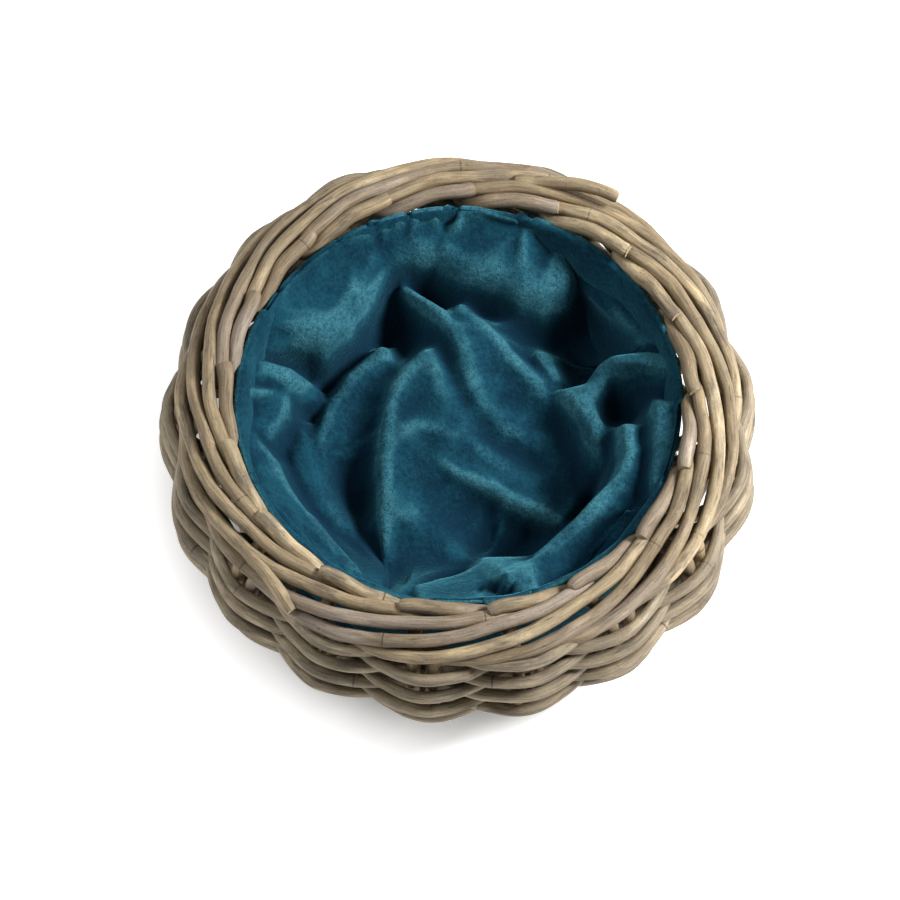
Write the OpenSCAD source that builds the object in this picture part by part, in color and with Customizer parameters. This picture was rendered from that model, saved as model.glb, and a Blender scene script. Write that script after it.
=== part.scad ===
// Round rattan nest basket for a small pet, with a loose fleece throw inside.
// The origin is the centre of the underside, +Z is up and -Y is the front.

/* [Overall size] */
// Outside diameter at the widest part of the side
outer_d = 400; // [390:1:410]
// Height from the floor to the top of the border
height = 150; // [146:1:156]
// Height of the widest part of the side above the floor
belly_z = 72; // [66:1:78]
// Clear diameter of the opening
opening_d = 297; // [295:1:299]
// Diameter of the circle on which the stakes turn up from the base
foot_d = 292; // [288:1:300]

/* [Stakes] */
// Number of stake pairs, which is odd so that each round passes on the other side
stations = 17; // [17:2:17]
// Direction of the first pair, counted from +X
first_station = 93.4; // [0:0.1:360]
// Diameter of a stake
stake_d = 8; // [7:0.1:8.2]
// Distance between the two stakes of a pair
pair_gap = 13; // [12:0.1:13.5]

/* [Side weaving] */
// Diameter of a weaver
weaver_d = 7.5; // [6.5:0.1:7.8]
// Number of weavers, laid one after another
weavers = 5; // [1:1:5]
// Height that the weaving gains in one round
weave_pitch = 9.8; // [9.8:0.1:14]
// Height of the first round
weave_low = 26.5; // [26:0.1:28]
// How far the last round lies below the top of the border
weave_below = 31; // [30.6:0.1:33]

/* [Base] */
// Height of the middle of the base sticks
base_z = 14; // [13.5:0.1:14.5]
// Diameter of a base stick
stick_d = 7; // [6:0.1:7.2]
// Sticks in each of the two crossing groups
sticks = 4; // [4:1:4]
// Diameter of the weavers of the base
base_weaver_d = 5.5; // [4.5:0.1:5.8]
// Diameter of the rod that the basket stands on
foot_rod_d = 9; // [8:0.1:9.4]
// How far the foot rod is worn flat
foot_wear = 0.8; // [0.4:0.1:1.2]

/* [Throw] */
// Clearance between the throw and the opening, all round
throw_play = 2; // [1:0.1:4]
// Thickness of the folded fleece at the side
throw_side = 24; // [16:1:30]
// Thickness of the folded fleece on the base
throw_floor = 26; // [18:1:34]

/* [Hidden] */
$fn = 48;

play = 0.25;             // gap that is kept between rods that cross
flat_phase = 20;         // half of the phase over which a weaver lies flat on a pair
sides = 6;               // sides of a swept rod
weave_in = (stake_d + weaver_d) / 2 + play;
weave_amp = weave_in / cos(flat_phase);
belly_r = outer_d / 2 - weave_amp - weaver_d / 2;
foot_r = foot_d / 2;
foot_z = 12;
shoulder_z = height - 27;
shoulder_in = 5;
pitch_angle = 360 / stations;
edge_r = opening_d / 2 + stake_d / 2;
border_w = belly_r - shoulder_in - edge_r;
spread = border_w / 30.237;  // how far apart the strands of the border lie
weave_high = height - weave_below;
weaver_stations = 2 * round(stations * (weave_high - weave_low) / weave_pitch / weavers / 2);
stake_heights = concat([26, 36, 46, 56, 65, belly_z],
    [for (part = [12, 29, 46]) belly_z + part * (height - belly_z) / 78]);

two_digits = [for (i = [1 : stations]) i < 10 ? str("0", i) : str(i)];

// ---- Paths: a point on a path is [stations past the first pair, radius, height] ----

function wall_r(z) = z > belly_z
    ? belly_r - shoulder_in * pow((z - belly_z) / (shoulder_z - belly_z), 2)
    : belly_r - (belly_r - foot_r) * pow((belly_z - z) / (belly_z - foot_z), 1.3);

function wall_lean(z) = atan((wall_r(z + 1) - wall_r(z - 1)) / 2);

function place(p) =
    let (a = first_station + p[0] * pitch_angle) [p[1] * cos(a), p[1] * sin(a), p[2]];

// Stations that a sideways distance takes up at radius r
function beside(distance, r) = asin(distance / r) / pitch_angle;

function unit(v) = v / norm(v);

// The point at fraction f between b and c of a smooth curve through a, b, c and d
function curve_point(a, b, c, d, f) =
    b + 0.5 * f * (c - a + f * (2 * a - 5 * b + 4 * c - d + f * (3 * (b - c) + d - a)));

// A smooth curve through the points, with steps pieces between neighbours
function smooth(p, steps) = let (last = len(p) - 1) [
    for (i = [0 : last - 1], s = [0 : steps - 1])
        curve_point(p[max(i - 1, 0)], p[i], p[i + 1], p[min(i + 2, last)], s / steps),
    p[last]
];

// ---- Rods ----

function directions(path) = let (last = len(path) - 1)
    [for (i = [0 : last]) unit(path[min(i + 1, last)] - path[max(i - 1, 0)])];

// Square the vector v to the direction t
function squared(v, t) = unit(v - (v * t) * t);

module rod(path, d) {
    t = directions(path);
    first = squared(abs(t[0][2]) < 0.7 ? [0, 0, 1] : [1, 0, 0], t[0]);
    normals = [
        for (i = 0, n = first; i < len(path);
             i = i + 1, n = i < len(path) ? squared(n, t[i]) : n) n
    ];
    points = [
        for (i = [0 : len(path) - 1], s = [0 : sides - 1])
            let (a = s * 360 / sides)
                path[i] + d / 2 * (cos(a) * normals[i] + sin(a) * cross(t[i], normals[i]))
    ];
    last = (len(path) - 1) * sides;
    skin = [
        for (i = [0 : sides : last - sides], s = [0 : sides - 1])
            let (n = (s + 1) % sides)
                each [[i + s, i + sides + s, i + n], [i + n, i + sides + s, i + sides + n]]
    ];
    ends = [[for (s = [0 : sides - 1]) s], [for (s = [sides - 1 : -1 : 0]) last + s]];
    polyhedron(points, concat(skin, ends));
}

// ---- Stakes, each with its length in the border ----

// From the base up the side of the basket, with the pair's half gap to one side
function upright(k, side) = [
    for (p = [
        [foot_r - 20, base_z], [foot_r - 9, base_z], [foot_r - 1, base_z + 3.5],
        for (z = stake_heights) [wall_r(z), z]
    ]) [k + beside(side * pair_gap / 2, p[0]), p[0], p[1]]
];

// The outer stake turns down over the border's outside and works inwards round the rim.
function outer_path(k) = concat(
    upright(k, 1),
    smooth([
        [k + 0.17, edge_r + 30 * spread, height - 20],
        [k + 0.50, edge_r + 30 * spread, height - 15],
        [k + 1.00, edge_r + 27.4 * spread, height - 12.8],
        [k + 2.00, edge_r + 19.8 * spread, height - 9.3],
        [k + 3.00, edge_r + 10.8 * spread, height - 6.4],
        [k + 3.60, edge_r + 5.4, height - 7.4],
        [k + 3.93, edge_r + 4.6, height - 12.8]
    ], 2)
);

// The inner stake crosses under the border, comes up at the rim's inner edge
// and lies along it to the pair before, where its cut end shows.
function inner_path(k) = concat(
    upright(k, -1),
    smooth([
        [k - 0.11, edge_r + 28 * spread, height - 25.5],
        [k - 0.12, edge_r + 18 * spread, height - 23],
        [k - 0.15, edge_r + 8, height - 22.5],
        [k - 0.27, edge_r + 1, height - 17.5],
        [k - 0.50, edge_r - 0.6, height - 11],
        [k - 0.80, edge_r, height - 5.8],
        [k - 1.10, edge_r + 1.5, height - stake_d / 2]
    ], 2)
);

module outer_stake(k) {
    color("tan") rod([for (p = outer_path(k)) place(p)], stake_d);
}

module inner_stake(k) {
    color("burlywood") rod([for (p = inner_path(k)) place(p)], stake_d);
}

// ---- Side weaving: one rod in front of a pair, one behind, on a rising spiral ----

function weave_z(s) = weave_low + (weave_high - weave_low) * s / (weavers * weaver_stations);

// The weaver swings to both sides of the stakes, square to the leaning wall.
function weave_point(s, phase) =
    let (z = weave_z(s + phase / 180), out = -weave_amp * cos(180 * s + phase), lean = wall_lean(z))
        [s + phase / 180, wall_r(z) + out * cos(lean), z - out * sin(lean)];

module side_weaver(i) {
    from = i * weaver_stations;
    phases = [flat_phase, 90 - flat_phase, 90 + flat_phase, 180 - flat_phase];
    points = [
        for (s = [from : from + weaver_stations - 1], f = phases) place(weave_point(s, f))
    ];
    color("darkkhaki") rod(points, weaver_d);
}

// ---- Base ----

fan_from = 18;           // half length of the crossing part of a stick
fan_level = 44;          // radius at which the two groups come to one level
fan_to = foot_r - 24;    // radius at which the sticks end
stick_step = stick_d + 1;

// A base stick crosses the other group at the middle and fans out at both ends.
module base_stick(i) {
    group = floor(i / sticks);
    place_in_group = i % sticks - (sticks - 1) / 2;
    level = (group == 0 ? -1 : 1) * (stick_d / 2 + 0.1);
    fan = place_in_group * 180 / (2 * sticks);
    half = [
        [fan_from, place_in_group * stick_step, base_z + level],
        [fan_level * cos(fan), fan_level * sin(fan), base_z],
        [fan_to * cos(fan), fan_to * sin(fan), base_z]
    ];
    path = concat([for (j = [2 : -1 : 0]) [-half[j][0], half[j][1], half[j][2]]], half);
    color("peru") rotate(90 * group) rod(path, stick_d);
}

ring_first = 52;
ring_last = foot_r - 14;
ring_count = 11;
ring_lift = (max(stick_d, stake_d) + base_weaver_d) / 2 + 0.3;

// The rounds of the base lie over and under the sticks and the feet of the stakes.
module base_rounds(level) {
    step = (ring_last - ring_first) / (ring_count - 1);
    color("tan") for (i = [0 : ring_count - 1])
        translate([0, 0, base_z + level * ring_lift])
            rotate_extrude() translate([ring_first + i * step, 0]) circle(d = base_weaver_d);
}

module base_weaver_upper() base_rounds(1);

module base_weaver_lower() base_rounds(-1);

// The rod round the underside that carries the basket, worn flat where it stands
module foot_rod() {
    color("sienna") rotate_extrude() intersection() {
        translate([foot_r, foot_rod_d / 2 - foot_wear]) circle(d = foot_rod_d);
        translate([foot_r - foot_rod_d, 0]) square(2 * foot_rod_d);
    }
}

// ---- Throw: a loose fleece, pushed into a nest with a rolled edge ----

throw_r = opening_d / 2 - throw_play;
throw_low = base_z + ring_lift + base_weaver_d / 2 + 0.3;
throw_high = height - 6;
roll_r = throw_side / 2;
throw_corner = 30;

module throw_outline() {
    difference() {
        union() {
            translate([throw_r - roll_r, throw_high - roll_r]) circle(roll_r);
            translate([throw_r - throw_corner, throw_low + throw_corner]) circle(throw_corner);
            translate([0, throw_low]) square([throw_r - throw_corner, throw_high - throw_low - roll_r]);
            translate([0, throw_low + throw_corner])
                square([throw_r, throw_high - throw_low - throw_corner - roll_r]);
        }
        translate([0, throw_low + throw_floor + throw_corner])
            square([throw_r - throw_side, height]);
        translate([0, throw_low + throw_floor])
            square([throw_r - throw_side - throw_corner, height]);
        translate([throw_r - throw_side - throw_corner, throw_low + throw_floor + throw_corner])
            circle(throw_corner);
        translate([-opening_d, 0]) square([opening_d, 2 * height]);
    }
}

module fleece_throw() {
    color("teal") rotate_extrude() throw_outline();
}

for (i = [0 : stations - 1]) {
    outer_stake(i);
    inner_stake(i);
}
for (i = [0 : weavers - 1])
    side_weaver(i);
for (i = [0 : 2 * sticks - 1])
    base_stick(i);
base_weaver_upper();
base_weaver_lower();
foot_rod();
fleece_throw();
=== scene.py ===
import math
import time
import random
import bpy
import numpy as np
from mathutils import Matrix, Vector, noise


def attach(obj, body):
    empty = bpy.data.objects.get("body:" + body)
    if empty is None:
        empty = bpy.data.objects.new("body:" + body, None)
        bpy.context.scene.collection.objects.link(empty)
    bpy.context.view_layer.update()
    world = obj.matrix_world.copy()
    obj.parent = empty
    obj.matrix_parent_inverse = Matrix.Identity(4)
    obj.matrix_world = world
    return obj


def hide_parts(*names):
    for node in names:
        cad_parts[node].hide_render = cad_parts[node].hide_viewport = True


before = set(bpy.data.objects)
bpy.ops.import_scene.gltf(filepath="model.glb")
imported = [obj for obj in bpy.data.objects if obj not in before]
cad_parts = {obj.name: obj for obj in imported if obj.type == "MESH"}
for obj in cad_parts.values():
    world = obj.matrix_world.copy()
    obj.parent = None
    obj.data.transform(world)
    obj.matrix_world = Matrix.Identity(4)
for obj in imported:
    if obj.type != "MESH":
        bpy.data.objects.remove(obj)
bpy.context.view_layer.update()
print("frame loaded:", len(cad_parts), "nodes")


# ---------- wiring: sockets that take part in sums, and one way to make a node ----------

class Wire:
    def __init__(self, graph, socket):
        self.graph, self.socket = graph, socket

    def calc(self, operation, first, second=None):
        values = {0: first} if second is None else {0: first, 1: second}
        return self.graph.make("ShaderNodeMath", {"operation": operation}, values)

    def __add__(self, other): return self.calc("ADD", self, other)
    def __radd__(self, other): return self.calc("ADD", other, self)
    def __sub__(self, other): return self.calc("SUBTRACT", self, other)
    def __rsub__(self, other): return self.calc("SUBTRACT", other, self)
    def __mul__(self, other): return self.calc("MULTIPLY", self, other)
    def __rmul__(self, other): return self.calc("MULTIPLY", other, self)
    def __truediv__(self, other): return self.calc("DIVIDE", self, other)
    def __rtruediv__(self, other): return self.calc("DIVIDE", other, self)
    def __pow__(self, other): return self.calc("POWER", self, other)
    def __abs__(self): return self.calc("ABSOLUTE", self)


class Graph:
    def __init__(self, tree):
        self.tree = tree

    def make(self, kind, settings=None, values=None, out=0):
        # settings come first, because they decide which sockets the node has
        node = self.tree.nodes.new(kind)
        for name, value in (settings or {}).items():
            if name == "stops":
                self.setStops(node.color_ramp, value)
            else:
                setattr(node, name, value)
        for key, value in (values or {}).items():
            socket = self.find(node.inputs, key)
            if isinstance(value, Wire):
                self.tree.links.new(value.socket, socket)
            else:
                socket.default_value = value
        return Wire(self, self.find(node.outputs, out))

    def find(self, sockets, key):
        usable = [s for s in sockets if s.enabled]
        return usable[key] if isinstance(key, int) else next(s for s in usable if s.name == key)

    def setStops(self, ramp, stops):
        while len(ramp.elements) < len(stops):
            ramp.elements.new(1.0)
        for element, (place, colour) in zip(ramp.elements, stops):
            element.position = place
            element.color = (*colour, 1.0)

    def between(self, value, low, high, toLow=0.0, toHigh=1.0):
        # value's way from low to high, eased and held at both ends
        return self.make("ShaderNodeMapRange", {"interpolation_type": "SMOOTHSTEP"},
                         {"Value": value, "From Min": low, "From Max": high,
                          "To Min": toLow, "To Max": toHigh})

    def noise(self, place, scale, detail=2.0, roughness=0.5, out=0):
        return self.make("ShaderNodeTexNoise", {}, {"Vector": place, "Scale": scale, "Detail": detail,
                                                     "Roughness": roughness}, out)

    def mix(self, share, first, second, kind="MIX"):
        return self.make("ShaderNodeMix", {"data_type": "RGBA", "blend_type": kind},
                         {"Factor": share, "A": colourOf(first), "B": colourOf(second)})

    def vector(self, operation, first, second):
        return self.make("ShaderNodeVectorMath", {"operation": operation}, {0: first, 1: second})

    def scaled(self, vector, factor):
        return self.make("ShaderNodeVectorMath", {"operation": "SCALE"}, {0: vector, "Scale": factor})

    def joined(self, x, y, z):
        return self.make("ShaderNodeCombineXYZ", {}, {0: x, 1: y, 2: z})


def colourOf(value):
    return value if isinstance(value, Wire) else (*value, 1.0)


# ---------- basket: the same routes as the frame's rods, in metres ----------

basket = {
    "outside": 0.400, "height": 0.150, "belly": 0.072, "opening": 0.297, "foot": 0.292,
    "stations": 17, "firstStation": 93.4, "stake": 0.008, "pairGap": 0.013,
    "weaver": 0.0075, "weavers": 5, "weaverStations": 36, "weaveLow": 0.0265, "weaveHigh": 0.1250,
    "play": 0.00025, "flatPhase": 20.0, "footHeight": 0.012, "shoulder": 0.123, "shoulderIn": 0.005,
    "baseHeight": 0.014, "stick": 0.007, "sticks": 4, "baseWeaver": 0.0055,
    "footRodRadius": 0.0049, "footRodMiddle": 0.0051,
}
weaveSwing = ((basket["stake"] + basket["weaver"]) / 2 + basket["play"]) / math.cos(
    math.radians(basket["flatPhase"]))
bellyRadius = basket["outside"] / 2 - weaveSwing - basket["weaver"] / 2
footRadius = basket["foot"] / 2
edgeRadius = basket["opening"] / 2 + basket["stake"] / 2
stationAngle = 360 / basket["stations"]
top = basket["height"]


def wallRadius(z):
    if z > basket["belly"]:
        rise = (z - basket["belly"]) / (basket["shoulder"] - basket["belly"])
        return bellyRadius - basket["shoulderIn"] * rise ** 2
    drop = max(basket["belly"] - z, 0) / (basket["belly"] - basket["footHeight"])
    return bellyRadius - (bellyRadius - footRadius) * drop ** 1.3


def wallLean(z):
    return math.atan((wallRadius(z + 0.001) - wallRadius(z - 0.001)) / 0.002)


def atStation(station, radius, height):
    angle = math.radians(basket["firstStation"] + station * stationAngle)
    return Vector((radius * math.cos(angle), radius * math.sin(angle), height))


def upright(k, side):
    low = basket["baseHeight"]
    route = [(footRadius - 0.020, low), (footRadius - 0.009, low), (footRadius - 0.001, low + 0.0035)]
    route += [(wallRadius(z), z) for z in (0.026, 0.036, 0.046, 0.056, 0.065, 0.072, 0.084, 0.101, 0.118)]
    half = side * basket["pairGap"] / 2
    return [(k + math.degrees(math.asin(half / r)) / stationAngle, r, z) for r, z in route]


def outerRoute(k):
    # up the side, then down over the outside of the border and inwards round the rim
    return upright(k, 1) + [
        (k + 0.15, edgeRadius + 0.0282, top - 0.0255), (k + 0.38, edgeRadius + 0.0290, top - 0.0232),
        (k + 0.72, edgeRadius + 0.0312, top - 0.0210), (k + 1.20, edgeRadius + 0.0298, top - 0.0172),
        (k + 2.00, edgeRadius + 0.0230, top - 0.0106), (k + 3.00, edgeRadius + 0.0130, top - 0.0060),
        (k + 3.60, edgeRadius + 0.0070, top - 0.0070), (k + 3.93, edgeRadius + 0.0050, top - 0.0126)]


def innerRoute(k):
    # under the border, up at the opening and along its edge to the pair before
    return upright(k, -1) + [
        (k - 0.11, edgeRadius + 0.0280, top - 0.0255), (k - 0.12, edgeRadius + 0.0180, top - 0.0230),
        (k - 0.15, edgeRadius + 0.0080, top - 0.0225), (k - 0.27, edgeRadius + 0.0010, top - 0.0175),
        (k - 0.50, edgeRadius + 0.0004, top - 0.0112), (k - 0.80, edgeRadius + 0.0018, top - 0.0064),
        (k - 1.02, edgeRadius + 0.0020, top - 0.0046), (k - 1.18, edgeRadius + 0.0026, top - 0.0040),
        (k - 1.33, edgeRadius + 0.0046, top - 0.0040)]


def weaverRoute(i):
    rise = (basket["weaveHigh"] - basket["weaveLow"]) / (basket["weavers"] * basket["weaverStations"])
    flat = basket["flatPhase"]
    route = []
    for s in range(i * basket["weaverStations"], (i + 1) * basket["weaverStations"]):
        for phase in (flat, 90 - flat, 90 + flat, 180 - flat):
            station = s + phase / 180
            z = basket["weaveLow"] + rise * station
            out = -weaveSwing * math.cos(math.radians(180 * s + phase))
            lean = wallLean(z)
            route.append((station, wallRadius(z) + out * math.cos(lean), z - out * math.sin(lean)))
    return route


def stickRoute(i):
    group, across = i // basket["sticks"], i % basket["sticks"] - (basket["sticks"] - 1) / 2
    level = (1 if group else -1) * (basket["stick"] / 2 + 0.0001)
    fan = math.radians(across * 90 / basket["sticks"])
    half = [(0.018, across * (basket["stick"] + 0.001), level)]
    half += [(r * math.cos(fan), r * math.sin(fan), 0) for r in (0.044, 0.083, footRadius - 0.024)]
    line = [(-x, y, z) for x, y, z in reversed(half)] + half
    turned = [(-y, x, z) if group else (x, y, z) for x, y, z in line]
    return [Vector((x, y, z + basket["baseHeight"])) for x, y, z in turned]


def baseWeaveRoute(which):
    # two weavers chase each other, over one stick and under the next
    first, step, rounds = 0.052, 0.008, 11
    lift = (basket["stake"] + basket["baseWeaver"]) / 2 + 0.0003
    crossings = 2 * basket["sticks"] * 2
    route = []
    turns = (rounds - 1) / 2
    count = round(turns * crossings * 4)
    for j in range(count + 1):
        angle = 2 * math.pi * turns * j / count + which * math.pi
        radius = first + step * (2 * turns * j / count)
        z = basket["baseHeight"] + lift * math.cos(angle * crossings / 2 + which * math.pi)
        route.append(Vector((radius * math.cos(angle), radius * math.sin(angle), z)))
    return route


def footRoute():
    z = basket["footRodMiddle"]
    turn = [math.radians(3 + 354 * j / 90) for j in range(91)]
    return [Vector((footRadius * math.cos(a), footRadius * math.sin(a), z)) for a in turn]


def brokenBits():
    # one stake has split and its upper half stands proud, and a cut end pokes out under the border
    proud = [(54, 0.1810, 0.1530), (58, 0.1790, 0.1540), (63, 0.1755, 0.1525), (70, 0.1715, 0.1480),
             (77, 0.1690, 0.1440)]
    stub = [(213, 0.1765, 0.1345), (220, 0.1775, 0.1395), (227, 0.1800, 0.1405), (234, 0.1860, 0.1345)]
    return [[Vector((r * math.cos(math.radians(a)), r * math.sin(math.radians(a)), z)) for a, r, z in bit]
            for bit in (proud, stub)]


def placed(route):
    return [atStation(*point) for point in route]


# ---------- rods: one tree sweeps every kind of rod along its route ----------

def rodTree():
    tree = bpy.data.node_groups.new("rod", "GeometryNodeTree")
    g = Graph(tree)
    face = tree.interface
    face.new_socket("Geometry", in_out="OUTPUT", socket_type="NodeSocketGeometry")
    face.new_socket("Geometry", in_out="INPUT", socket_type="NodeSocketGeometry")
    for name, start in (("Radius", 0.004), ("Uneven", 0.05), ("Ring Spacing", 0.17), ("Ring Swell", 0.05),
                        ("Sway", 0.001), ("Sway Scale", 11.0), ("Wander", 0.0005), ("Wander Scale", 30.0),
                        ("Step", 0.0025), ("End Length", 0.003), ("End Size", 0.82)):
        face.new_socket(name, in_out="INPUT", socket_type="NodeSocketFloat").default_value = start
    face.new_socket("Sides", in_out="INPUT", socket_type="NodeSocketInt").default_value = 12
    face.new_socket("Seed", in_out="INPUT", socket_type="NodeSocketFloat").default_value = 0.0
    face.new_socket("Material", in_out="INPUT", socket_type="NodeSocketMaterial")
    inside = tree.nodes.new("NodeGroupInput")
    given = {s.name: Wire(g, s) for s in inside.outputs if s.name}

    curve = g.make("GeometryNodeMeshToCurve", {}, {"Mesh": given["Geometry"]})
    curve = g.make("GeometryNodeCurveSplineType", {"spline_type": "CATMULL_ROM"}, {"Curve": curve})
    curve = g.make("GeometryNodeSetSplineResolution", {}, {0: curve, "Resolution": 8})
    curve = g.make("GeometryNodeResampleCurve", {"mode": "LENGTH"}, {"Curve": curve, "Length": given["Step"]})
    along = g.make("GeometryNodeSplineParameter", out="Length")
    whole = g.make("GeometryNodeSplineLength", out="Length")
    rod = g.make("GeometryNodeInputNamedAttribute", {"data_type": "FLOAT"}, {"Name": "rod"})
    curve = g.make("GeometryNodeStoreNamedAttribute", {"data_type": "FLOAT", "domain": "POINT"},
                   {"Geometry": curve, "Name": "along", "Value": along})

    # growth rings, a gentle swelling at each, and thickness that changes slowly
    ringPlace = g.make("ShaderNodeMath", {"operation": "FRACT"},
                       {0: (along + rod * 7.3) / given["Ring Spacing"]})
    ringAway = g.make("ShaderNodeMath", {"operation": "MINIMUM"}, {0: ringPlace, 1: 1 - ringPlace})
    ring = g.between(ringAway * given["Ring Spacing"], 0.0, 0.006, 1.0, 0.0)
    alongRod = g.joined(along, rod * 31.7 + given["Seed"], 0.0)
    thick = g.noise(alongRod, 26.0, 1.0)
    endAway = g.make("ShaderNodeMath", {"operation": "MINIMUM"}, {0: along, 1: whole - along})
    ended = given["End Size"] + (1 - given["End Size"]) * g.between(endAway, 0.0, given["End Length"])
    radius = given["Radius"] * (1 + given["Uneven"] * (thick * 4 - 2) + given["Ring Swell"] * ring) * ended
    curve = g.make("GeometryNodeSetCurveRadius", {}, {"Curve": curve, "Radius": radius})

    # neighbours sway together, and each rod wanders a little by itself
    place = g.make("GeometryNodeInputPosition")
    sway = g.vector("SUBTRACT", g.noise(place, given["Sway Scale"], 1.0, out="Color"), (0.5, 0.5, 0.5))
    own = g.vector("ADD", place, g.joined(rod * 53.0, rod * 11.0, given["Seed"]))
    wander = g.vector("SUBTRACT", g.noise(own, given["Wander Scale"], 1.0, out="Color"), (0.5, 0.5, 0.5))
    shift = g.vector("ADD", g.scaled(sway, given["Sway"] * 4), g.scaled(wander, given["Wander"] * 4))
    curve = g.make("GeometryNodeSetPosition", {}, {"Geometry": curve, "Offset": shift})

    ringCurve = g.make("GeometryNodeCurvePrimitiveCircle", {"mode": "RADIUS"},
                       {"Resolution": given["Sides"], "Radius": 1.0})
    ringCurve = g.make("GeometryNodeStoreNamedAttribute", {"data_type": "FLOAT_VECTOR", "domain": "POINT"},
                       {"Geometry": ringCurve, "Name": "around", "Value": place})
    thickness = g.make("GeometryNodeInputRadius")
    skin = g.make("GeometryNodeCurveToMesh", {},
                  {"Curve": curve, "Profile Curve": ringCurve, "Scale": thickness, "Fill Caps": True})
    corners = g.make("GeometryNodeInputMeshFaceNeighbors", out="Vertex Count")
    isCap = g.make("FunctionNodeCompare", {"data_type": "INT", "operation": "GREATER_THAN"},
                   {0: corners, 1: 4})
    isSide = g.make("FunctionNodeBooleanMath", {"operation": "NOT"}, {0: isCap})
    skin = g.make("GeometryNodeStoreNamedAttribute", {"data_type": "FLOAT", "domain": "FACE"},
                  {"Geometry": skin, "Name": "cutEnd", "Value": isCap})
    skin = g.make("GeometryNodeSetShadeSmooth", {"domain": "FACE"},
                  {"Geometry": skin, "Shade Smooth": isSide})
    skin = g.make("GeometryNodeRealizeInstances", {}, {"Geometry": skin})
    skin = g.make("GeometryNodeSetMaterial", {}, {"Geometry": skin, "Material": given["Material"]})
    result = tree.nodes.new("NodeGroupOutput")
    tree.links.new(skin.socket, result.inputs[0])
    return tree


def edgeMesh(name, routes, seed):
    rng = random.Random(seed)
    points, edges, rods = [], [], []
    for route in routes:
        start = len(points)
        points += route
        edges += [(start + j, start + j + 1) for j in range(len(route) - 1)]
        rods += [rng.random()] * len(route)
    mesh = bpy.data.meshes.new(name)
    mesh.from_pydata([tuple(p) for p in points], edges, [])
    mesh.attributes.new("rod", "FLOAT", "POINT").data.foreach_set("value", rods)
    return mesh


def sweptRods(name, routes, sizes, material, seed):
    raw = bpy.data.objects.new(name + "Route", edgeMesh(name + "Route", routes, seed))
    bpy.context.scene.collection.objects.link(raw)
    modifier = raw.modifiers.new("rod", "NODES")
    modifier.node_group = rodGroup
    wanted = {"Seed": float(seed), "Material": material, **sizes}
    for item in rodGroup.interface.items_tree:
        if item.in_out == "INPUT" and item.name in wanted:
            modifier[item.identifier] = wanted[item.name]
    made = bpy.data.meshes.new_from_object(raw.evaluated_get(bpy.context.evaluated_depsgraph_get()))
    bpy.data.objects.remove(raw)
    made.name = name
    piece = bpy.data.objects.new(name, made)
    bpy.context.scene.collection.objects.link(piece)
    print(name, "has", sum(len(p.vertices) - 2 for p in made.polygons), "triangles")
    return piece


# ---------- rattan ----------

rattanLooks = {
    "border": {"tones": [(0.0, (0.30, 0.250, 0.200)), (0.3, (0.225, 0.172, 0.105)),
                         (0.65, (0.34, 0.268, 0.162)), (1.0, (0.47, 0.380, 0.240))],
               "grey": (0.150, 0.122, 0.090), "aged": 0.50},
    "weavers": {"tones": [(0.0, (0.32, 0.275, 0.225)), (0.35, (0.22, 0.180, 0.128)),
                          (0.7, (0.28, 0.232, 0.156)), (1.0, (0.38, 0.32, 0.22))],
                "grey": (0.150, 0.126, 0.096), "aged": 0.6},
    "base": {"tones": [(0.0, (0.34, 0.28, 0.21)), (0.5, (0.30, 0.235, 0.155)), (1.0, (0.42, 0.34, 0.22))],
             "grey": (0.19, 0.155, 0.115), "aged": 0.4},
}


ringSpacing = 0.17


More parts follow.
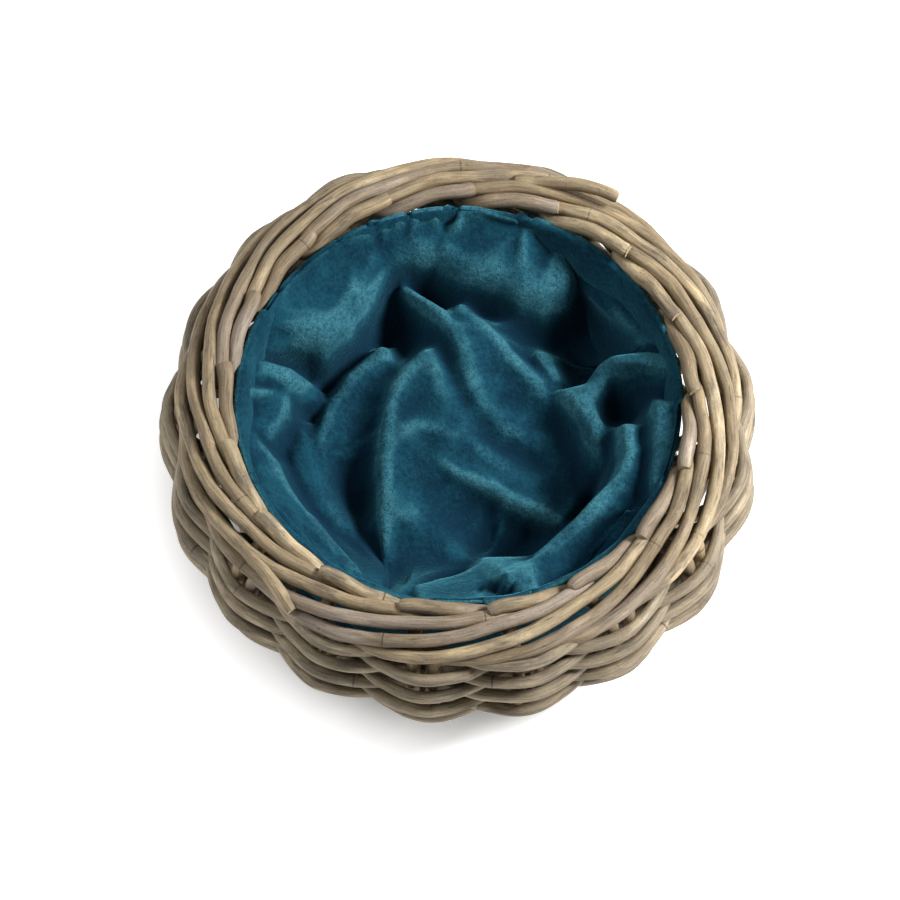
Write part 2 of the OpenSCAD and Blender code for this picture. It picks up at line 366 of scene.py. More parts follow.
def rattan(name, look):
    material = bpy.data.materials.new(name)
    material.use_nodes = True
    g = Graph(material.node_tree)
    material.node_tree.nodes.clear()
    along = g.make("ShaderNodeAttribute", {"attribute_name": "along"}, out="Fac")
    rod = g.make("ShaderNodeAttribute", {"attribute_name": "rod"}, out="Fac")
    cut = g.make("ShaderNodeAttribute", {"attribute_name": "cutEnd"}, out="Fac")
    around = g.make("ShaderNodeAttribute", {"attribute_name": "around"}, out="Vector")
    rodShift = g.joined(rod * 91.0, rod * 37.0, along)
    place = g.vector("ADD", g.vector("MULTIPLY", around, (0.004, 0.004, 0.0)), rodShift)

    # streaks run along the rod, patches are longer than they are wide
    stretched = g.vector("MULTIPLY", place, (1.0, 1.0, 0.06))
    streaks = g.noise(stretched, 900.0, 4.0, 0.6)
    patches = g.noise(g.vector("MULTIPLY", place, (1.0, 1.0, 0.25)), 130.0, 4.0, 0.65)
    slow = g.noise(place, 14.0, 2.0)
    fine = g.noise(g.vector("MULTIPLY", place, (1.0, 1.0, 0.4)), 1500.0, 2.0, 0.7)

    colour = g.make("ShaderNodeValToRGB", {"stops": look["tones"]},
                    {"Fac": rod * 0.75 + (slow - 0.5) * 1.1 + 0.12})
    aged = g.between(patches + (slow - 0.5) * 0.6 + (rod - 0.5) * 0.15, 0.62 - look["aged"] * 0.2, 0.72)
    colour = g.mix(aged * 0.75, colour, look["grey"])
    colour = g.mix(g.between(streaks, 0.38, 0.66) * 0.70, colour,
                   g.mix(1.0, colour, (0.52, 0.46, 0.40), "MULTIPLY"))
    colour = g.mix(g.between(fine, 0.56, 0.72) * 0.7, colour,
                   g.mix(1.0, colour, (0.40, 0.33, 0.26), "MULTIPLY"))
    pale = g.between(patches, 0.36, 0.46, 1.0, 0.0)
    colour = g.mix(pale * 0.65, colour, g.mix(1.0, colour, (1.55, 1.52, 1.46), "MULTIPLY"))
    # painted shade: faces that turn downward are darkened, broken up by the patches
    facing = g.make("ShaderNodeNewGeometry", out="Normal")
    upward = g.make("ShaderNodeSeparateXYZ", {}, {"Vector": facing}, out="Z")
    undersideShade = g.between(upward + (patches - 0.5) * 0.9, -0.10, 0.75, 1.0, 0.0)
    colour = g.mix(undersideShade * 0.50, colour, g.mix(1.0, colour, (0.52, 0.42, 0.28), "MULTIPLY"))

    # thin dark growth rings with broken edges
    ringPlace = g.make("ShaderNodeMath", {"operation": "FRACT"}, {0: (along + rod * 7.3) / ringSpacing})
    ringAway = g.make("ShaderNodeMath", {"operation": "MINIMUM"}, {0: ringPlace, 1: 1 - ringPlace})
    ringAway = ringAway * ringSpacing
    ring = g.between(ringAway + (patches - 0.5) * 0.0012, 0.0002, 0.0009, 1.0, 0.0)
    ring = ring * g.between(slow + (streaks - 0.5) * 0.4, 0.40, 0.62)
    colour = g.mix(ring * 0.85, colour, (0.065, 0.045, 0.03))

    # long thin cracks in the skin
    lines = g.noise(g.vector("MULTIPLY", place, (1.0, 1.0, 0.03)), 420.0, 2.0)
    crack = g.between(abs(lines - 0.5), 0.0, 0.012, 1.0, 0.0) * g.between(patches, 0.5, 0.62)
    colour = g.mix(crack * 0.8, colour, (0.09, 0.062, 0.04))

    # cut ends show pale pith with open pores
    object = g.make("ShaderNodeTexCoord", out="Object")
    pores = g.noise(object, 2600.0, 1.0)
    pith = g.mix(g.between(pores, 0.5, 0.66), (0.64, 0.52, 0.34), (0.26, 0.18, 0.10))
    colour = g.mix(cut, colour, pith)

    height = streaks * 0.5 + fine * 0.25 + patches * 0.6 - crack * 0.8 - ring * 0.5
    normal = g.make("ShaderNodeBump", {}, {"Strength": 0.8, "Distance": 0.0009, "Height": height})
    rough = g.between(patches, 0.3, 0.7, 0.52, 0.78)
    shader = g.make("ShaderNodeBsdfPrincipled", {}, {
        "Base Color": colour, "Roughness": rough, "Normal": normal, "Specular IOR Level": 0.4})
    result = material.node_tree.nodes.new("ShaderNodeOutputMaterial")
    material.node_tree.links.new(shader.socket, result.inputs["Surface"])
    return material


# ---------- making the basket ----------

rodGroup = rodTree()
borderRattan = rattan("borderRattan", rattanLooks["border"])
weaverRattan = rattan("weaverRattan", rattanLooks["weavers"])
baseRattan = rattan("baseRattan", rattanLooks["base"])

stakeSizes = {"Radius": 0.0046, "Uneven": 0.10, "Ring Swell": 0.06, "Sway": 0.0008, "Sway Scale": 11.0,
              "Wander": 0.0006, "Wander Scale": 28.0, "Step": 0.0025, "Sides": 14}
weaverSizes = {"Radius": 0.0041, "Uneven": 0.09, "Ring Swell": 0.06, "Sway": 0.0011, "Sway Scale": 11.0,
               "Wander": 0.0007, "Wander Scale": 24.0, "Step": 0.0028, "Sides": 12}
baseSizes = {"Radius": 0.00275, "Uneven": 0.06, "Ring Swell": 0.05, "Sway": 0.0, "Sway Scale": 11.0,
             "Wander": 0.0004, "Wander Scale": 30.0, "Step": 0.0035, "Sides": 10}

stationList = range(basket["stations"])
twoDigits = [f"{i + 1:02d}" for i in stationList]
rodFamilies = [
    ("outer_stakes", [placed(outerRoute(k)) for k in stationList] + brokenBits(), stakeSizes, borderRattan, 3,
     ["outer_stake_" + d for d in twoDigits], "border_rattan"),
    ("inner_stakes", [placed(innerRoute(k)) for k in stationList],
     {**stakeSizes, "Radius": 0.0050}, borderRattan, 4,
     ["inner_stake_" + d for d in twoDigits], "border_rattan"),
    ("side_weavers", [placed(weaverRoute(i)) for i in range(basket["weavers"])], weaverSizes, weaverRattan, 5,
     [f"side_weaver_{i + 1}" for i in range(basket["weavers"])], "weaver_rattan"),
    ("base_sticks", [stickRoute(i) for i in range(2 * basket["sticks"])],
     {**baseSizes, "Radius": 0.0035}, baseRattan, 6,
     [f"base_stick_{i + 1}" for i in range(2 * basket["sticks"])], "base_rattan"),
    ("base_weave", [baseWeaveRoute(0), baseWeaveRoute(1)], baseSizes, baseRattan, 7,
     ["base_weaver_upper", "base_weaver_lower"], "base_rattan"),
    ("foot_rim", [footRoute()],
     {**baseSizes, "Radius": basket["footRodRadius"], "Wander": 0.0, "Uneven": 0.02, "Sides": 16},
     baseRattan, 8, ["foot_rod"], "base_rattan"),
]
for name, routes, sizes, material, seed, nodes, slotName in rodFamilies:
    piece = sweptRods(name, routes, sizes, material, seed)
    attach(piece, "basket")
    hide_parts(*nodes)


# ---------- throw: one loose fleece, its folds laid one by one and then let go to settle -------

throwShape = {
    "seed": 7,
    "radius": 0.1474, "floor": 0.051, "wallTop": 0.1370, "limit": 0.1405, "cells": 150, "blend": 0.0015,
    "wallLeft": 0.118, "wallRight": 0.128, "unevenness": 0.0025, "thickness": 0.0030,
    "skirt": [(0.1470, 0.1285), (0.1468, 0.1230), (0.1462, 0.1100), (0.1455, 0.0920),
              (0.1450, 0.0740), (0.1440, 0.0560), (0.1420, 0.0400), (0.1370, 0.0310), (0.1280, 0.0285)],
    "skirtRows": 30,
}
throwCloth = {"frames": 26, "looseness": 0.035, "mass": 0.25, "tension": 12.0, "bending": 0.10,
              "grip": 0.0045}
# Each fold is a ridge along its line. Going along the line, each hand has how far its top reaches,
# how steeply it falls after that, and how much it climbs on the way there.
folds = {
    "leftCushion": {"line": [(-0.140, 0.039, 0.121), (-0.130, 0.052, 0.118), (-0.116, 0.058, 0.116),
                             (-0.091, 0.062, 0.113), (-0.077, 0.073, 0.112), (-0.066, 0.091, 0.111)],
                    "left": (0.032, 0.8, 0.95), "right": (0.001, 5.0, 0.0), "crest": 0.002},
    "backBand": {"line": [(-0.066, 0.091, 0.110), (-0.059, 0.104, 0.112), (-0.049, 0.116, 0.116),
                          (-0.033, 0.122, 0.118), (-0.016, 0.122, 0.118), (0.004, 0.109, 0.116),
                          (0.030, 0.103, 0.113), (0.044, 0.097, 0.111), (0.056, 0.095, 0.108),
                          (0.068, 0.098, 0.108), (0.076, 0.109, 0.112)],
                 "left": (0.030, 0.8, 0.98), "right": (0.001, 5.0, 0.0), "crest": 0.003},
    "thinFold": {"line": [(-0.057, 0.112, 0.092), (-0.061, 0.101, 0.091), (-0.063, 0.085, 0.088),
                          (-0.071, 0.070, 0.082), (-0.081, 0.059, 0.078), (-0.097, 0.046, 0.076),
                          (-0.109, 0.036, 0.080)],
                 "left": (0.001, 2.2, 0.0), "right": (0.001, 2.8, 0.0), "crest": 0.002},
    "pocketLobe": {"line": [(-0.142, 0.030, 0.124), (-0.130, 0.036, 0.122), (-0.115, 0.035, 0.113)],
                   "left": (0.003, 4.0, 0.0), "right": (0.004, 3.6, 0.0), "crest": 0.004},
    "pocketFlap": {"line": [(-0.143, 0.025, 0.120), (-0.118, 0.025, 0.106), (-0.120, 0.012, 0.104),
                            (-0.128, -0.006, 0.104)],
                   "left": (0.002, 4.2, 0.0), "right": (0.014, 1.6, 0.9), "crest": 0.003},
    "leftStrip": {"line": [(-0.143, -0.005, 0.118), (-0.125, -0.028, 0.110), (-0.105, -0.060, 0.104),
                           (-0.085, -0.084, 0.104), (-0.069, -0.106, 0.108)],
                  "left": (0.001, 3.4, 0.0), "right": (0.012, 1.3, 0.6), "crest": 0.003},
    "pleatLeft": {"line": [(-0.051, 0.063, 0.092), (-0.071, 0.047, 0.088), (-0.087, 0.024, 0.084),
                           (-0.094, 0.008, 0.081), (-0.096, -0.011, 0.076), (-0.090, -0.028, 0.068),
                           (-0.076, -0.048, 0.056)],
                  "left": (0.002, 0.28, 0.0), "right": (0.001, 2.2, 0.0), "crest": 0.003},
    "pleatMain": {"line": [(-0.022, 0.056, 0.101), (-0.036, 0.046, 0.100), (-0.043, 0.034, 0.097),
                           (-0.047, 0.021, 0.094), (-0.049, -0.001, 0.090), (-0.050, -0.025, 0.085),
                           (-0.051, -0.054, 0.077), (-0.049, -0.080, 0.067)],
                  "left": (0.003, 0.30, 0.0), "right": (0.001, 3.6, 0.0), "crest": 0.003},
    "tentPanelEdge": {"line": [(-0.020, 0.054, 0.099), (-0.012, 0.035, 0.098), (-0.006, 0.025, 0.095),
                               (0.002, 0.009, 0.089), (0.014, -0.004, 0.083), (0.034, -0.020, 0.075),
                               (0.048, -0.024, 0.069)],
                      "left": (0.001, 1.6, 0.0), "right": (0.003, 0.40, 0.0), "crest": 0.003},
    "basinEdge": {"line": [(-0.030, -0.001, 0.083), (-0.004, -0.022, 0.081), (0.016, -0.032, 0.079),
                           (0.034, -0.041, 0.077), (0.068, -0.055, 0.072)],
                  "left": (0.002, 0.20, 0.0), "right": (0.001, 5.0, 0.0), "crest": 0.002},
    "tentPeak": {"line": [(-0.037, 0.107, 0.098), (-0.012, 0.086, 0.106), (-0.003, 0.074, 0.106)],
                 "left": (0.001, 3.6, 0.0), "right": (0.002, 1.8, 0.0), "crest": 0.003},
    "tentRidge": {"line": [(-0.003, 0.074, 0.106), (0.004, 0.053, 0.103), (0.009, 0.036, 0.099),
                           (0.015, 0.023, 0.094), (0.030, 0.011, 0.087), (0.048, 0.004, 0.080),
                           (0.074, -0.009, 0.071)],
                  "left": (0.003, 0.50, 0.0), "right": (0.002, 1.2, 0.0), "crest": 0.004},
    "tentRight": {"line": [(0.002, 0.092, 0.100), (0.018, 0.077, 0.101), (0.034, 0.057, 0.098),
                           (0.054, 0.039, 0.093), (0.064, 0.024, 0.088), (0.080, 0.003, 0.080),
                           (0.096, -0.014, 0.071)],
                  "left": (0.001, 2.6, 0.0), "right": (0.002, 0.45, 0.0), "crest": 0.004},
    "smallRidge": {"line": [(0.056, 0.062, 0.092), (0.062, 0.046, 0.090), (0.067, 0.024, 0.086)],
                   "left": (0.001, 2.0, 0.0), "right": (0.001, 1.6, 0.0), "crest": 0.003},
    "rightLobe": {"line": [(0.072, 0.028, 0.100), (0.088, 0.030, 0.107), (0.094, 0.042, 0.114),
                           (0.102, 0.045, 0.120), (0.124, 0.042, 0.127), (0.142, 0.034, 0.132)],
                  "left": (0.001, 4.6, 0.0), "right": (0.005, 2.6, 0.0), "crest": 0.004},
    "rightLobeBody": {"line": [(0.080, 0.021, 0.105), (0.091, 0.002, 0.103), (0.099, -0.016, 0.094)],
                      "left": (0.004, 2.8, 0.0), "right": (0.003, 3.0, 0.0), "crest": 0.006},
    "rightRoll": {"line": [(0.112, -0.007, 0.118), (0.113, -0.028, 0.125), (0.107, -0.049, 0.126),
                           (0.093, -0.066, 0.124), (0.073, -0.082, 0.120), (0.059, -0.097, 0.118),
                           (0.043, -0.116, 0.119), (0.032, -0.132, 0.122)],
                  "left": (0.005, 1.5, 0.0), "right": (0.003, 4.6, 0.0), "crest": 0.005},
    "outerStrip": {"line": [(0.133, 0.004, 0.132), (0.131, -0.032, 0.134), (0.128, -0.060, 0.134)],
                   "left": (0.012, 0.3, 0.3), "right": (0.001, 3.4, 0.0), "crest": 0.003},
    "frontBand": {"line": [(-0.027, -0.123, 0.114), (-0.012, -0.115, 0.110), (0.010, -0.111, 0.108),
                           (0.020, -0.098, 0.104), (0.036, -0.098, 0.104), (0.051, -0.099, 0.108)],
                  "left": (0.002, 3.4, 0.0), "right": (0.034, 0.8, 0.90), "crest": 0.005},
    "frontPanel": {"line": [(-0.045, -0.040, 0.071), (-0.020, -0.062, 0.068), (0.012, -0.086, 0.063)],
                   "left": (0.008, 1.6, 0.0), "right": (0.012, 0.5, 0.0), "crest": 0.006},
    "leftPanel": {"line": [(-0.112, 0.012, 0.083), (-0.104, -0.026, 0.079), (-0.084, -0.060, 0.074)],
                  "left": (0.004, 1.4, 0.0), "right": (0.004, 0.9, 0.0), "crest": 0.005},
    "arcWrinkle": {"line": [(-0.038, 0.004, 0.092), (-0.026, 0.009, 0.092), (-0.012, 0.008, 0.092),
                            (-0.003, 0.003, 0.088)],
                   "left": (0.001, 0.9, 0.0), "right": (0.001, 1.2, 0.0), "crest": 0.003},
}


def foldHeight(x, y, fold):
    # height of the fold over each place, and how far away its crest is
    line, crest = np.array(fold["line"]), fold["crest"]
    best = np.full(len(x), 1e9)
    height = np.zeros(len(x))
    for a, b in zip(line[:-1], line[1:]):
        way = b[:2] - a[:2]
        length = np.linalg.norm(way)
        along = ((x - a[0]) * way[0] + (y - a[1]) * way[1]) / length ** 2
        t = np.clip(along, 0, 1)
        beyond = np.abs(along - t) * length
        dx, dy = x - a[0] - t * way[0], y - a[1] - t * way[1]
        away = np.hypot(dx, dy)
        across = np.sqrt(np.maximum(away ** 2 - beyond ** 2, 0))
        side = np.clip(((way[0] * dy - way[1] * dx) / length) / np.maximum(away, 1e-6), -1, 1)
        drop = np.zeros(len(x))
        hands = ((0.5 + 0.5 * side, fold["left"]), (0.5 - 0.5 * side, fold["right"]))
        for share, (level, fall, climb) in hands:
            past = np.maximum(across - level, 0)
            bulge = np.minimum(across / level, 1)
            drop += share * (fall * (np.sqrt(past ** 2 + crest ** 2) - crest)
                             - climb * level * (1.5 * bulge - 0.5 * bulge ** 3))
        nearer = away < best
        best = np.where(nearer, away, best)
        drop += 1.6 * (np.sqrt(beyond ** 2 + 0.003 ** 2) - 0.003)
        height = np.where(nearer, a[2] + t * (b[2] - a[2]) - drop, height)
    return height, best


def softest(heights, blend):
    # the highest of the heights, with the creases between them slightly rounded
    most = np.max(heights, axis=0)
    return most + blend * np.log(sum(np.exp((h - most) / blend) for h in heights))


def throwHeight(x, y):
    shape = throwShape
    radius = np.hypot(x, y)
    rightness = np.clip(x / np.maximum(radius, 1e-6), 0, 1)
    start = shape["wallLeft"] + (shape["wallRight"] - shape["wallLeft"]) * rightness
    climb = np.clip((radius - start) / (shape["radius"] - start), 0, 1)
    bowl = shape["floor"] + 0.10 * np.maximum(radius - 0.06, 0)
    bowl = bowl + (shape["wallTop"] - bowl) * climb ** 1.3
    sway = np.array([noise.noise_vector((a * 32, b * 32, 0.3)) for a, b in zip(x, y)])
    sx, sy = x + sway[:, 0] * shape["unevenness"], y + sway[:, 1] * shape["unevenness"]
    made = [foldHeight(sx, sy, fold) for fold in folds.values()]
    puckers = np.array([noise.noise((a * 75, b * 75, 4.0)) for a, b in zip(x, y)])
    z = softest([bowl] + [height for height, away in made], shape["blend"])
    z = z + sway[:, 2] * 0.0030 + puckers * 0.0014
    over = z - shape["limit"] + 0.004
    z = np.where(over > 0, shape["limit"] - 0.004 * np.exp(-over / 0.004), z)
    held = np.clip(1.4 - np.min([away for height, away in made], axis=0) / throwCloth["grip"], 0, 1)
    return z, np.maximum(held, np.clip((radius - shape["radius"] + 0.006) / 0.003, 0, 1))


def smoothLine(points, count):
    # the points of an even curve through the given ones
    given = np.array([points[0]] + list(points) + [points[-1]])
    spots = np.linspace(0, len(points) - 1, count)
    i = np.minimum(spots.astype(int), len(points) - 2)
    f = (spots - i)[:, None]
    a, b, c, d = given[i], given[i + 1], given[i + 2], given[i + 3]
    return b + 0.5 * f * (c - a + f * (2 * a - 5 * b + 4 * c - d + f * (3 * (b - c) + d - a)))


def bedUnder():
    # what the settling cloth lies on and against: the base and the inside of the wall
    profile = [(0.0, 0.0), (0.10, 0.0), (0.135, 0.006), (0.152, 0.030), (0.152, 0.10)]
    turns = 48
    low = 0.034
    points = [(r * math.cos(a), r * math.sin(a), low + z)
              for r, z in profile[1:] for a in [2 * math.pi * i / turns for i in range(turns)]]
    points.append((0, 0, low))
    faces = [(j * turns + i, j * turns + (i + 1) % turns,
              (j + 1) * turns + (i + 1) % turns, (j + 1) * turns + i)
             for j in range(len(profile) - 2) for i in range(turns)]
    faces += [(len(points) - 1, i, (i + 1) % turns) for i in range(turns)]
    mesh = bpy.data.meshes.new("bedUnder")
    mesh.from_pydata(points, [], faces)
    bed = bpy.data.objects.new("bedUnder", mesh)
    bpy.context.scene.collection.objects.link(bed)
    bed.modifiers.new("collision", "COLLISION")
    bed.collision.thickness_outer = 0.002
    bed.collision.cloth_friction = 30.0
    return bed


def settled(points, faces, held):
    # the sheet after hanging from its ridges for a moment, slightly larger than it was drawn
    mesh = bpy.data.meshes.new("loose")
    mesh.from_pydata([tuple(p) for p in points], [], faces)
    sheet = bpy.data.objects.new("loose", mesh)
    scene = bpy.context.scene
    scene.collection.objects.link(sheet)
    pins = sheet.vertex_groups.new(name="held")
    for i, weight in enumerate(held):
        if weight > 0.01:
            pins.add([i], float(weight), "REPLACE")
    cloth = sheet.modifiers.new("cloth", "CLOTH")
    fabric = cloth.settings
    fabric.quality = 5
    fabric.mass = throwCloth["mass"]
    fabric.tension_stiffness = throwCloth["tension"]
    fabric.compression_stiffness = throwCloth["tension"]
    fabric.shear_stiffness = throwCloth["tension"] / 2
    fabric.bending_stiffness = throwCloth["bending"]
    fabric.air_damping = 4.0
    fabric.shrink_min = -throwCloth["looseness"]
    fabric.vertex_group_mass = "held"
    fabric.pin_stiffness = 4.0
    cloth.collision_settings.use_self_collision = False
    cloth.collision_settings.distance_min = 0.0015
    bed = bedUnder()
    scene.frame_start, scene.frame_end = 1, throwCloth["frames"]
    cloth.point_cache.frame_start, cloth.point_cache.frame_end = 1, throwCloth["frames"]
    for step in range(1, throwCloth["frames"] + 1):
        scene.frame_set(step)
    now = sheet.evaluated_get(bpy.context.evaluated_depsgraph_get()).to_mesh()
    places = np.empty(len(points) * 3)
    now.vertices.foreach_get("co", places)
    for thing in (sheet, bed):
        bpy.data.objects.remove(thing, do_unlink=True)
    scene.frame_set(1)
    return places.reshape(-1, 3)


def softened(grid, reach):
    # the grid averaged over its neighbours, once along each way
    spread = np.exp(-0.5 * (np.arange(-3 * reach, 3 * reach + 1) / reach) ** 2)
    spread /= spread.sum()
    for turn in range(2):
        padded = np.pad(grid, ((3 * reach, 3 * reach), (0, 0)), mode="edge")
        grid = np.apply_along_axis(lambda line: np.convolve(line, spread, "valid"), 0, padded).T
    return grid


def sculptThrow():
    shape = throwShape
    noise.seed_set(shape["seed"])  # noise vectors start from the clock without it
    n = shape["cells"]
    step = np.linspace(-1, 1, n + 1)
    u, v = [c.ravel() for c in np.meshgrid(step, step)]
    x = u * np.sqrt(1 - v ** 2 / 2) * shape["radius"]
    y = v * np.sqrt(1 - u ** 2 / 2) * shape["radius"]
    z, held = throwHeight(x, y)
    faces = [(r * (n + 1) + c, r * (n + 1) + c + 1, (r + 1) * (n + 1) + c + 1, (r + 1) * (n + 1) + c)
             for r in range(n) for c in range(n)]
    started = time.time()
    points = settled(np.stack([x, y, z], 1), faces, held)
    print("throw settled in", round(time.time() - started, 1), "s")
    for axis in range(3):
        even = softened(points[:, axis].reshape(n + 1, n + 1), 1)
        share = np.clip((n / 2 - np.abs(np.arange(n + 1) - n / 2)) / 3, 0, 1)
        share = np.minimum.outer(share, share)
        now = points[:, axis].reshape(n + 1, n + 1)
        points[:, axis] = (now + (even - now) * share).ravel()
    outside = np.maximum(np.hypot(points[:, 0], points[:, 1]) / shape["radius"], 1)
    points[:, :2] /= outside[:, None]
    # hollow: how far each place lies below its softened surroundings, used by the fleece to paint shade into
    # creases and highlight onto ridges
    level = points[:, 2].reshape(n + 1, n + 1)
    hollow = (softened(level, 3) - level) / 0.0036 + (softened(level, 9) - level) / 0.022
    hollow = np.clip(0.5 + 0.5 * hollow, 0, 1).ravel()
    # the rest of the cloth goes over under the border, down behind the folds and in under them
    rim = [c for c in range(n)] + [r * (n + 1) + n for r in range(n)]
    rim += [n * (n + 1) + c for c in range(n, 0, -1)] + [r * (n + 1) for r in range(n, 0, -1)]
    angles = np.arctan2(y[rim], x[rim])
    ruffle = np.array([noise.noise_vector((2.4 * math.cos(a), 2.4 * math.sin(a), 5.0)) for a in angles])
    pleats = np.array([noise.noise_vector((7 * math.cos(a), 7 * math.sin(a), 9.0)) for a in angles])
    brim = points[rim, 2]
    profile = smoothLine([(shape["radius"], 0.130)] + shape["skirt"], shape["skirtRows"] + 1)
    above = rim
    for row, (radius, height) in enumerate(profile[1:], 1):
        loose = min(1, row / 10) * (0.004 if height > 0.035 else 0.0)
        radii = radius + loose * (ruffle[:, 0] - 1.0) + loose * 0.8 * pleats[:, 0]
        heights = height + (ruffle[:, 1] + 0.5) * 0.002 * min(1, row / 10)
        heights = heights + (brim - 0.130) * max(0, 1 - row / 12)
        below = list(range(len(points), len(points) + len(rim)))
        points = np.vstack([points, np.stack([radii * np.cos(angles), radii * np.sin(angles), heights], 1)])
        count = len(rim)
        faces += [(above[j], below[j], below[(j + 1) % count], above[(j + 1) % count]) for j in range(count)]
        above = below
    mesh = bpy.data.meshes.new("fleeceThrow")
    mesh.from_pydata([tuple(p) for p in points], [], faces)
    hollow = np.concatenate([hollow, np.full(len(points) - len(hollow), 0.5)])
    mesh.attributes.new("hollow", "FLOAT", "POINT").data.foreach_set("value", hollow)
    mesh.shade_smooth()
    piece = bpy.data.objects.new("fleeceThrow", mesh)
    bpy.context.scene.collection.objects.link(piece)
    return piece


# ---------- fleece ----------

fleeceLook = {"deep": (0.0012, 0.0205, 0.040), "lit": (0.0055, 0.054, 0.084),
              "pileNoiseAndRidgeHighlight": (0.046, 0.168, 0.208), "shade": (0.0009, 0.016, 0.035), "pile": 330.0}


def fleece(name):
    material = bpy.data.materials.new(name)
    material.use_nodes = True
    g = Graph(material.node_tree)
    material.node_tree.nodes.clear()
    place = g.make("ShaderNodeTexCoord", out="Object")
    hollow = g.make("ShaderNodeAttribute", {"attribute_name": "hollow"}, out="Fac")
    pileNoiseAndRidgeHighlight = g.noise(place, fleeceLook["pile"], 3.0, 0.65)
    wide = g.noise(place, 45.0, 2.0)
    tufts = g.noise(place, 1100.0, 2.0, 0.6)
    # pile mottling between deep and lit, with painted shade: hollows are pushed toward deep, rises toward lit
    pileAndPaintedShade = g.between(pileNoiseAndRidgeHighlight * 0.5 + wide * 0.5 + (tufts - 0.5) * 0.25 - (hollow - 0.5) * 0.35, 0.34, 0.68)
    colour = g.mix(pileAndPaintedShade, fleeceLook["deep"], fleeceLook["lit"])
    # painted highlight: ridges are lightened toward a pale teal, grained by the pile noise
    ridge = g.between(hollow + (wide - 0.5) * 0.3, 0.44, 0.08)
    paintedHighlightGrain = g.between(tufts * 0.55 + pileNoiseAndRidgeHighlight * 0.45, 0.33, 0.66) * g.between(wide, 0.35, 0.6, 0.35, 1.0)
    colour = g.mix(ridge * paintedHighlightGrain, colour, fleeceLook["pileNoiseAndRidgeHighlight"])
    colour = g.mix(g.between(hollow, 0.58, 1.0) * 0.75, colour, fleeceLook["shade"])
    normal = g.make("ShaderNodeBump", {}, {"Strength": 0.7, "Distance": 0.0012,
                                           "Height": tufts * 0.5 + pileNoiseAndRidgeHighlight * 1.0})
    shader = g.make("ShaderNodeBsdfPrincipled", {}, {
        "Base Color": colour, "Roughness": 0.9, "Normal": normal, "Specular IOR Level": 0.1,
        "Sheen Weight": 0.42, "Sheen Roughness": 0.4, "Sheen Tint": (0.15, 0.60, 0.74, 1.0)})
    result = material.node_tree.nodes.new("ShaderNodeOutputMaterial")
    material.node_tree.links.new(shader.socket, result.inputs["Surface"])
    return material


tealFleece = fleece("tealFleece")
throw = sculptThrow()
clothArea = sum(face.area for face in throw.data.polygons)
print("throw has", len(throw.data.polygons), "faces and", round(clothArea, 4), "m2 of cloth")
throw.data.materials.append(tealFleece)
thick = throw.modifiers.new("thickness", "SOLIDIFY")
thick.thickness = throwShape["thickness"]
thick.offset = -1
solid = bpy.data.meshes.new_from_object(throw.evaluated_get(bpy.context.evaluated_depsgraph_get()))
throw.modifiers.clear()
throw.data = solid
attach(throw, "throw")
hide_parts("fleece_throw")


# ---------- stage, light and camera ----------

stageLook = {"floor": 6.0, "floorColour": (0.93, 0.93, 0.92), "floorGlow": 0.72,
             "shadePlace": (-0.006, 0.020, 0.0), "shadeReach": (0.155, 0.225),
             "worldColour": (1.0, 1.0, 1.0), "world": 0.21,
             "keyPower": 84.0, "keySize": 0.7, "keyPlace": (1.60, 0.15, 1.40),
             "fillPower": 18.0, "fillPlace": (-1.50, 0.30, 1.30)}
cameraLook = {"lens": 303.0, "distance": 5.0, "elevation": 63.0, "aim": (-0.0059, -0.0319, 0.1325)}


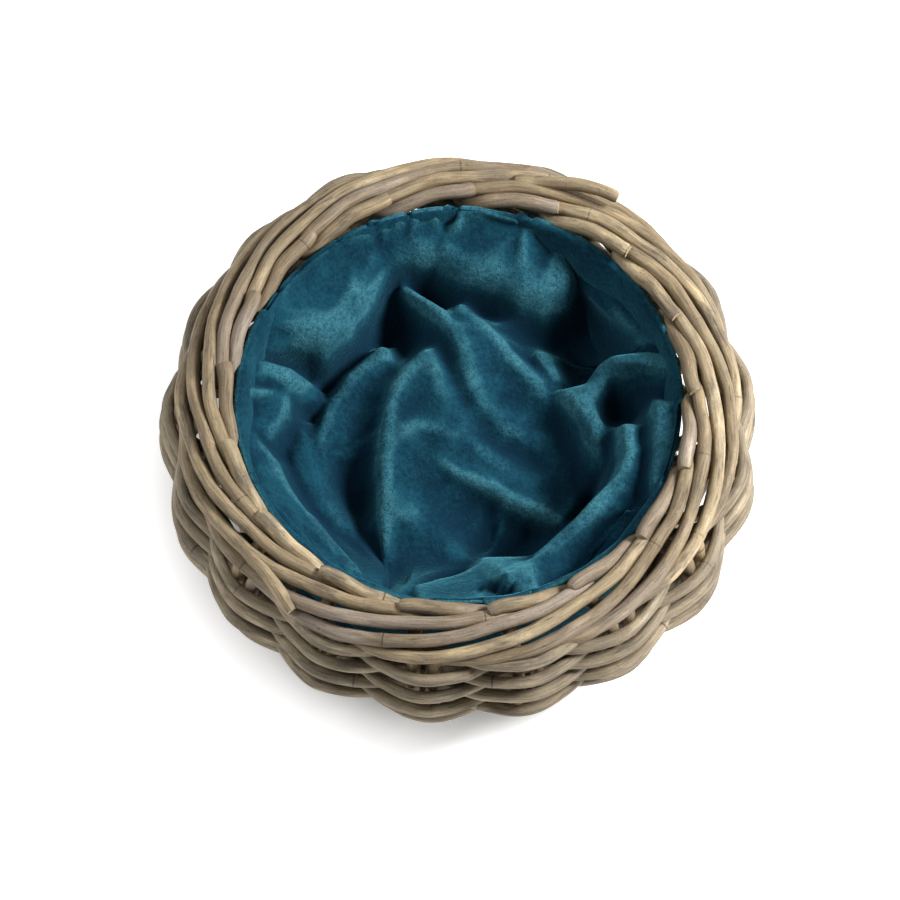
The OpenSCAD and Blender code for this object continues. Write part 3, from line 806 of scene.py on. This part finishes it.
def makeStage():
    mesh = bpy.data.meshes.new("floor")
    half = stageLook["floor"] / 2
    mesh.from_pydata([(-half, -half, 0), (half, -half, 0), (half, half, 0), (-half, half, 0)], [],
                     [(0, 1, 2, 3)])
    floor = bpy.data.objects.new("floor", mesh)
    bpy.context.scene.collection.objects.link(floor)
    paper = bpy.data.materials.new("paleFloor")
    paper.use_nodes = True
    surface = paper.node_tree.nodes["Principled BSDF"]
    surface.inputs["Base Color"].default_value = colourOf(
        stageLook["floorColour"])
    surface.inputs["Roughness"].default_value = 0.9
    # painted light and painted shadow: the floor glows, and its glow fades out under and around the basket
    g = Graph(paper.node_tree)
    place = g.make("ShaderNodeTexCoord", out="Object")
    away = g.make("ShaderNodeVectorMath", {"operation": "DISTANCE"},
                  {0: place, 1: stageLook["shadePlace"]}, "Value")
    glowWithPaintedShadow = g.mix(g.between(away, *stageLook["shadeReach"]), (0.0, 0.0, 0.0), (1.0, 1.0, 1.0))
    paper.node_tree.links.new(glowWithPaintedShadow.socket, surface.inputs["Emission Color"])
    surface.inputs["Emission Strength"].default_value = stageLook["floorGlow"]
    surface.inputs["Specular IOR Level"].default_value = 0.2
    floor.data.materials.append(paper)
    world = bpy.data.worlds.new("softRoom")
    world.use_nodes = True
    world.node_tree.nodes["Background"].inputs["Color"].default_value = colourOf(stageLook["worldColour"])
    world.node_tree.nodes["Background"].inputs["Strength"].default_value = stageLook["world"]
    bpy.context.scene.world = world
    lamp = bpy.data.lights.new("key", "AREA")
    lamp.shape = "DISK"
    lamp.size = stageLook["keySize"]
    lamp.energy = stageLook["keyPower"]
    key = bpy.data.objects.new("key", lamp)
    key.location = stageLook["keyPlace"]
    key.rotation_euler = (Vector((0, 0, 0.08)) - key.location).to_track_quat("-Z", "Y").to_euler()
    bpy.context.scene.collection.objects.link(key)
    glow = bpy.data.lights.new("fill", "AREA")
    glow.shape = "DISK"
    glow.size = 1.2
    glow.energy = stageLook["fillPower"]
    fill = bpy.data.objects.new("fill", glow)
    fill.location = stageLook["fillPlace"]
    fill.rotation_euler = (Vector((0, 0, 0.08)) - fill.location).to_track_quat("-Z", "Y").to_euler()
    bpy.context.scene.collection.objects.link(fill)


def makeCamera():
    data = bpy.data.cameras.new("camera")
    data.lens = cameraLook["lens"]
    camera = bpy.data.objects.new("camera", data)
    rise = math.radians(cameraLook["elevation"])
    back = Vector((0, -math.cos(rise), math.sin(rise))) * cameraLook["distance"]
    camera.location = Vector((0, 0, top)) + back
    aim = Vector(cameraLook["aim"])
    camera.rotation_euler = (aim - camera.location).to_track_quat("-Z", "Y").to_euler()
    bpy.context.scene.collection.objects.link(camera)
    bpy.context.scene.camera = camera


makeStage()
makeCamera()
bpy.context.scene.view_settings.view_transform = "Standard"
